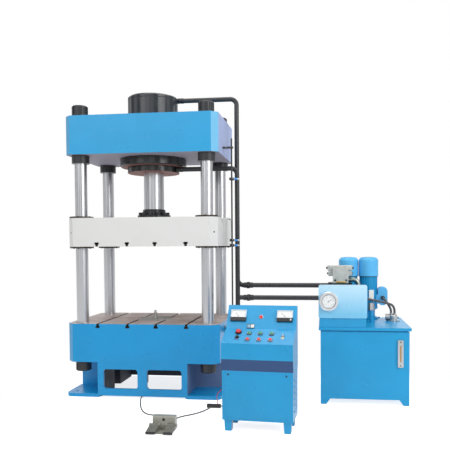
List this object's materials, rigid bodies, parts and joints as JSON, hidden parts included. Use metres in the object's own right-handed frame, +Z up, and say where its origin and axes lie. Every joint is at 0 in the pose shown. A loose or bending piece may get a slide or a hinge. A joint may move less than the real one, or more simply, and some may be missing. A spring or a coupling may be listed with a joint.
{
  "type": "hydraulic press",
  "caption": "Four-column hydraulic press with T-slotted bed and slide, power unit with pipes, control console and foot switch.",
  "frame": {"origin": "on the floor, in the middle of the outer box of press, power unit, console and foot switch", "axes": "+X along the row from the press to the power unit, +Y to the rear, +Z up"},
  "size_m": [2.93, 1.801, 2.6499],
  "materials": {
    "blue_paint": "gloss enamel",
    "light_paint": "satin enamel",
    "black_paint": "satin",
    "chromed_steel": "polished",
    "machined_steel": "brushed",
    "grey_casting": "satin",
    "bronze": "machined",
    "black_plastic": "matt",
    "green_plastic": "gloss",
    "red_plastic": "gloss",
    "cable_rubber": "matt"
  },
  "bodies": {
    "press": {"base_frame": "blue_paint", "bed": "blue_paint", "centre_plate": "machined_steel", "ejector_cylinder": "black_paint", "crown": "blue_paint", "columns": "chromed_steel", "column_nuts": "black_paint", "column_collars": "black_paint", "cylinder_barrel": "black_paint", "cylinder_ring": "black_paint", "cylinder_gland": "black_paint", "upper_pipe": "black_paint", "lower_pipe": "black_paint", "pipe_fittings": "black_paint", "limit_rail": "machined_steel", "limit_switches": "black_plastic", "tank": "blue_paint", "tank_lid": "blue_paint", "gauge_panel": "blue_paint", "manifold": "black_paint", "directional_valve": "grey_casting", "pressure_gauge": "chromed_steel", "level_gauge": "machined_steel", "motors": "blue_paint", "fan_cowls": "blue_paint", "terminal_boxes": "blue_paint", "filler_cap": "black_paint", "conduit_fitting": "grey_casting", "unit_pipes": "machined_steel", "console_cabinet": "blue_paint", "panel_meters": "black_plastic", "panel_fittings": "black_plastic", "footswitch_body": "grey_casting", "junction_box": "black_plastic", "pedal_cable_left": "cable_rubber", "pedal_cable_right": "cable_rubber", "console_lead": "cable_rubber", "sensor_wire": "cable_rubber", "motor_cable_left": "cable_rubber", "motor_cable_right": "cable_rubber", "cable_connector": "black_plastic"},
    "ram_and_slide": {"ram": "chromed_steel", "ram_flange": "black_paint", "slide": "light_paint", "guide_bushes": "bronze"},
    "ejector": {"ejector_pin": "machined_steel"},
    "gauge_pointer": {"gauge_needle": "black_plastic"},
    "left_meter_pointer": {"meter_needle_left": "black_plastic"},
    "right_meter_pointer": {"meter_needle_right": "black_plastic"},
    "emergency_head": {"emergency_stop": "red_plastic"},
    "selector_knob": {"selector_switch": "black_plastic"},
    "key_lever": {"key_switch": "machined_steel"},
    "left_pedal": {"pedal_left": "grey_casting"},
    "right_pedal": {"pedal_right": "grey_casting"},
    "start_cap_1": {"start_button_1": "green_plastic"},
    "start_cap_2": {"start_button_2": "green_plastic"},
    "start_cap_3": {"start_button_3": "green_plastic"},
    "stop_cap_1": {"stop_button_1": "red_plastic"},
    "stop_cap_2": {"stop_button_2": "red_plastic"},
    "stop_cap_3": {"stop_button_3": "red_plastic"}
  },
  "joints": [
    {"name": "ram_travel", "type": "slide", "parent": "press", "child": "ram_and_slide", "axis": [0, 0, 1], "range_m": [-0.32, 0.15]},
    {"name": "ejector_travel", "type": "slide", "parent": "press", "child": "ejector", "axis": [0, 0, 1], "range_m": [-0.07, 0.05]},
    {"name": "gauge_turn", "type": "hinge", "parent": "press", "child": "gauge_pointer", "pos_m": [0.8066, -0.0031, 0.8475], "axis": [0, 1, 0], "range_deg": [-190, 80]},
    {"name": "left_meter_turn", "type": "hinge", "parent": "press", "child": "left_meter_pointer", "pos_m": [0.15054, -0.56608, 0.79182], "axis": [0.0674, 0.8558, -0.5129], "range_deg": [0, 80]},
    {"name": "right_meter_turn", "type": "hinge", "parent": "press", "child": "right_meter_pointer", "pos_m": [0.48949, -0.59276, 0.79182], "axis": [0.0674, 0.8558, -0.5129], "range_deg": [0, 80]},
    {"name": "start_press_1", "type": "slide", "parent": "press", "child": "start_cap_1", "axis": [0.0369, 0.4683, -0.8828], "range_m": [0, 0.004], "stiffness_N_per_m": 800},
    {"name": "start_press_2", "type": "slide", "parent": "press", "child": "start_cap_2", "axis": [0.0369, 0.4683, -0.8828], "range_m": [0, 0.004], "stiffness_N_per_m": 800},
    {"name": "start_press_3", "type": "slide", "parent": "press", "child": "start_cap_3", "axis": [0.0369, 0.4683, -0.8828], "range_m": [0, 0.004], "stiffness_N_per_m": 800},
    {"name": "stop_press_1", "type": "slide", "parent": "press", "child": "stop_cap_1", "axis": [0.0369, 0.4683, -0.8828], "range_m": [0, 0.004], "stiffness_N_per_m": 800},
    {"name": "stop_press_2", "type": "slide", "parent": "press", "child": "stop_cap_2", "axis": [0.0369, 0.4683, -0.8828], "range_m": [0, 0.004], "stiffness_N_per_m": 800},
    {"name": "stop_press_3", "type": "slide", "parent": "press", "child": "stop_cap_3", "axis": [0.0369, 0.4683, -0.8828], "range_m": [0, 0.004], "stiffness_N_per_m": 800},
    {"name": "emergency_press", "type": "slide", "parent": "press", "child": "emergency_head", "axis": [0.0369, 0.4683, -0.8828], "range_m": [0, 0.005]},
    {"name": "selector_turn", "type": "hinge", "parent": "press", "child": "selector_knob", "pos_m": [0.15826, -0.69739, 0.65776], "axis": [-0.0369, -0.4683, 0.8828], "range_deg": [-45, 45]},
    {"name": "key_turn", "type": "hinge", "parent": "press", "child": "key_lever", "pos_m": [0.48268, -0.70477, 0.66739], "axis": [-0.0369, -0.4683, 0.8828], "range_deg": [-60, 60]},
    {"name": "left_pedal_press", "type": "hinge", "parent": "press", "child": "left_pedal", "pos_m": [-0.422, -0.7825, 0.042], "axis": [1, 0, 0], "range_deg": [0, 2.5], "stiffness_Nm_per_rad": 30, "springref_deg": -1.72},
    {"name": "right_pedal_press", "type": "hinge", "parent": "press", "child": "right_pedal", "pos_m": [-0.298, -0.7825, 0.042], "axis": [1, 0, 0], "range_deg": [0, 2.5], "stiffness_Nm_per_rad": 30, "springref_deg": -1.72}
  ]
}
